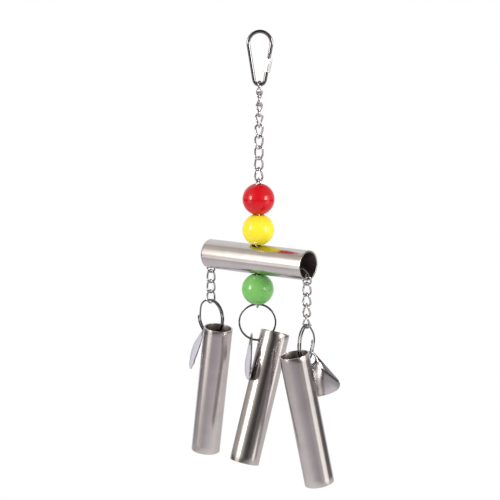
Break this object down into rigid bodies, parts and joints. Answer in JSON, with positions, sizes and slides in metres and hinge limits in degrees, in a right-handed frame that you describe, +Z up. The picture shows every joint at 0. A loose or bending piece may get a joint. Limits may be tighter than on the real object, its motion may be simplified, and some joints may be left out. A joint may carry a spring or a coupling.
{
  "type": "bird bell toy",
  "caption": "Hanging bird toy: quick link, twisted chain, coloured beads on a steel crossbar, and steel chime tubes on split rings, each struck by a flat clapper plate.",
  "frame": {"origin": "hang point, inside the top of the quick link, where the toy rests on the bar that holds it", "axes": "+Z up along the hanging chain, +X along the crossbar towards the longer side chain"},
  "size_m": [0.1208, 0.0395, 0.2869],
  "materials": {
    "nickel_wire": "polished",
    "polished_steel": "polished",
    "red_bead": "gloss",
    "yellow_bead": "gloss",
    "green_bead": "gloss"
  },
  "bodies": {
    "quick_link": {"quick_link": "nickel_wire"},
    "sleeve": {"quick_link_sleeve": "nickel_wire"},
    "chain_01": {"main_link_01": "nickel_wire"},
    "chain_02": {"main_link_02": "nickel_wire"},
    "chain_03": {"main_link_03": "nickel_wire"},
    "chain_04": {"main_link_04": "nickel_wire"},
    "chain_05": {"main_link_05": "nickel_wire"},
    "chain_06": {"main_link_06": "nickel_wire"},
    "chain_07": {"main_link_07": "nickel_wire"},
    "chain_08": {"main_link_08": "nickel_wire"},
    "chain_09": {"main_link_09": "nickel_wire"},
    "threaded_chain": {"main_link_10": "nickel_wire", "main_link_11": "nickel_wire", "main_link_12": "nickel_wire", "main_link_13": "nickel_wire", "main_link_14": "nickel_wire", "main_link_15": "nickel_wire", "main_link_16": "nickel_wire", "main_link_17": "nickel_wire", "main_link_18": "nickel_wire", "main_link_19": "nickel_wire", "main_link_20": "nickel_wire", "main_link_21": "nickel_wire"},
    "crossbar": {"crossbar_tube": "polished_steel", "left_inner_link": "nickel_wire", "right_inner_link": "nickel_wire"},
    "left_end_link": {"left_end_link": "nickel_wire"},
    "left_link_1": {"left_link_1": "nickel_wire"},
    "left_link_2": {"left_link_2": "nickel_wire"},
    "left_link_3": {"left_link_3": "nickel_wire"},
    "right_end_link": {"right_end_link": "nickel_wire"},
    "right_link_1": {"right_link_1": "nickel_wire"},
    "right_link_2": {"right_link_2": "nickel_wire"},
    "right_link_3": {"right_link_3": "nickel_wire"},
    "right_link_4": {"right_link_4": "nickel_wire"},
    "left_split_ring": {"left_split_ring": "nickel_wire"},
    "left_chime_tube": {"left_chime_tube": "polished_steel"},
    "left_clapper": {"left_clapper": "polished_steel"},
    "centre_split_ring": {"centre_split_ring": "nickel_wire"},
    "centre_chime_tube": {"centre_chime_tube": "polished_steel"},
    "centre_clapper": {"centre_clapper": "polished_steel"},
    "right_split_ring": {"right_split_ring": "nickel_wire"},
    "right_chime_tube": {"right_chime_tube": "polished_steel"},
    "right_clapper": {"right_clapper": "polished_steel"},
    "red_bead": {"red_bead": "red_bead"},
    "yellow_bead": {"yellow_bead": "yellow_bead"},
    "green_bead": {"green_bead": "green_bead"}
  },
  "joints": [
    {"name": "chain_01_swing", "type": "hinge", "parent": "quick_link", "child": "chain_01", "pos_m": [0, 0, -0.03205], "axis": [0.7826, 0.6225, 0], "range_deg": [-40, 40]},
    {"name": "chain_02_swing", "type": "hinge", "parent": "chain_01", "child": "chain_02", "pos_m": [0, 0, -0.03673], "axis": [0.1478, 0.989, 0], "range_deg": [-40, 40]},
    {"name": "chain_03_swing", "type": "hinge", "parent": "chain_02", "child": "chain_03", "pos_m": [0, 0, -0.04511], "axis": [0.989, -0.1478, 0], "range_deg": [-40, 40]},
    {"name": "chain_04_swing", "type": "hinge", "parent": "chain_03", "child": "chain_04", "pos_m": [0, 0, -0.05029], "axis": [-0.6756, -0.7373, 0], "range_deg": [-40, 40]},
    {"name": "chain_05_swing", "type": "hinge", "parent": "chain_04", "child": "chain_05", "pos_m": [0, 0, -0.05867], "axis": [-0.7373, 0.6756, 0], "range_deg": [-40, 40]},
    {"name": "chain_06_swing", "type": "hinge", "parent": "chain_05", "child": "chain_06", "pos_m": [0, 0, -0.06385], "axis": [0.9724, 0.2334, 0], "range_deg": [-40, 40]},
    {"name": "chain_07_swing", "type": "hinge", "parent": "chain_06", "child": "chain_07", "pos_m": [0, 0, -0.07223], "axis": [0.2334, -0.9724, 0], "range_deg": [-40, 40]},
    {"name": "chain_08_swing", "type": "hinge", "parent": "chain_07", "child": "chain_08", "pos_m": [0, 0, -0.07741], "axis": [-0.9367, 0.3502, 0], "range_deg": [-40, 40]},
    {"name": "chain_09_swing", "type": "hinge", "parent": "chain_08", "child": "chain_09", "pos_m": [0, 0, -0.08579], "axis": [0.3502, 0.9367, 0], "range_deg": [-40, 40]},
    {"name": "threaded_chain_swing", "type": "hinge", "parent": "chain_09", "child": "threaded_chain", "pos_m": [0, 0, -0.09097], "axis": [0.5807, -0.8141, 0], "range_deg": [-25, 25]},
    {"name": "left_end_link_swing", "type": "hinge", "parent": "crossbar", "child": "left_end_link", "pos_m": [-0.0391, 0, -0.149], "axis": [1, 0, 0], "range_deg": [-10, 10]},
    {"name": "left_link_1_swing", "type": "hinge", "parent": "left_end_link", "child": "left_link_1", "pos_m": [-0.0391, 0, -0.15526], "axis": [0.4848, 0.8746, 0], "range_deg": [-9, 40]},
    {"name": "left_link_2_swing", "type": "hinge", "parent": "left_link_1", "child": "left_link_2", "pos_m": [-0.0391, 0, -0.16044], "axis": [-0.9659, 0.2588, 0], "range_deg": [-40, 40]},
    {"name": "left_link_3_swing", "type": "hinge", "parent": "left_link_2", "child": "left_link_3", "pos_m": [-0.0391, 0, -0.16882], "axis": [-0.2588, -0.9659, 0], "range_deg": [-40, 9]},
    {"name": "right_end_link_swing", "type": "hinge", "parent": "crossbar", "child": "right_end_link", "pos_m": [0.0391, 0, -0.149], "axis": [1, 0, 0], "range_deg": [-10, 10]},
    {"name": "right_link_1_swing", "type": "hinge", "parent": "right_end_link", "child": "right_link_1", "pos_m": [0.0391, 0, -0.15526], "axis": [0.4848, 0.8746, 0], "range_deg": [-40, 8]},
    {"name": "right_link_2_swing", "type": "hinge", "parent": "right_link_1", "child": "right_link_2", "pos_m": [0.0391, 0, -0.16044], "axis": [-0.7337, 0.6794, 0], "range_deg": [-40, 40]},
    {"name": "right_link_3_swing", "type": "hinge", "parent": "right_link_2", "child": "right_link_3", "pos_m": [0.0391, 0, -0.16882], "axis": [-0.6794, -0.7337, 0], "range_deg": [-16, 40]},
    {"name": "right_link_4_swing", "type": "hinge", "parent": "right_link_3", "child": "right_link_4", "pos_m": [0.0391, 0, -0.174], "axis": [0.4289, -0.9033, 0], "range_deg": [-8, 40]},
    {"name": "left_split_ring_swing", "type": "hinge", "parent": "left_link_3", "child": "left_split_ring", "pos_m": [-0.0391, 0, -0.17372], "axis": [-0.9877, 0.1564, 0], "range_deg": [-30, 30]},
    {"name": "left_chime_tube_swing", "type": "hinge", "parent": "left_split_ring", "child": "left_chime_tube", "pos_m": [-0.0411, 0.00032, -0.19684], "axis": [-0.1564, -0.9877, 0], "range_deg": [-2, 9]},
    {"name": "left_clapper_swing", "type": "hinge", "parent": "left_split_ring", "child": "left_clapper", "pos_m": [-0.04545, 0.00101, -0.19509], "axis": [-0.6077, 0.7568, 0.2406], "range_deg": [-0.4, 20]},
    {"name": "centre_split_ring_swing", "type": "hinge", "parent": "threaded_chain", "child": "centre_split_ring", "pos_m": [0, 0, -0.17205], "axis": [-0.7826, -0.6225, 0], "range_deg": [-25, 20]},
    {"name": "centre_chime_tube_swing", "type": "hinge", "parent": "centre_split_ring", "child": "centre_chime_tube", "pos_m": [0.00095, 0.00076, -0.19529], "axis": [0.6225, -0.7826, 0], "range_deg": [-0.5, 16]},
    {"name": "centre_clapper_swing", "type": "hinge", "parent": "centre_split_ring", "child": "centre_clapper", "pos_m": [-0.0031, -0.00247, -0.19465], "axis": [-0.6984, 0.7157, 0], "range_deg": [-0.4, 30]},
    {"name": "right_split_ring_swing", "type": "hinge", "parent": "right_link_4", "child": "right_split_ring", "pos_m": [0.0391, 0, -0.1805], "axis": [-0.2504, 0.9681, 0], "range_deg": [-30, 14]},
    {"name": "right_chime_tube_swing", "type": "hinge", "parent": "right_split_ring", "child": "right_chime_tube", "pos_m": [0.0389, 0.00079, -0.20377], "axis": [-0.9681, -0.2504, 0], "range_deg": [-0.5, 18]},
    {"name": "right_clapper_swing", "type": "hinge", "parent": "right_split_ring", "child": "right_clapper", "pos_m": [0.03761, 0.00576, -0.20217], "axis": [0.9045, 0.3864, 0.1804], "range_deg": [-0.6, 20]},
    {"name": "crossbar_turn", "type": "hinge", "parent": "threaded_chain", "child": "crossbar", "pos_m": [0, 0, -0.14295], "axis": [0, 0, 1], "continuous": true},
    {"name": "sleeve_slide", "type": "slide", "parent": "quick_link", "child": "sleeve", "axis": [0.1307, 0.104, 0.986], "range_m": [0, 0.0065]},
    {"name": "red_bead_turn", "type": "hinge", "parent": "threaded_chain", "child": "red_bead", "pos_m": [0, 0, -0.10426], "axis": [0, 0, 1], "continuous": true},
    {"name": "yellow_bead_turn", "type": "hinge", "parent": "threaded_chain", "child": "yellow_bead", "pos_m": [0, 0, -0.12376], "axis": [0, 0, 1], "continuous": true},
    {"name": "green_bead_turn", "type": "hinge", "parent": "threaded_chain", "child": "green_bead", "pos_m": [0, 0, -0.16215], "axis": [0, 0, 1], "continuous": true}
  ]
}
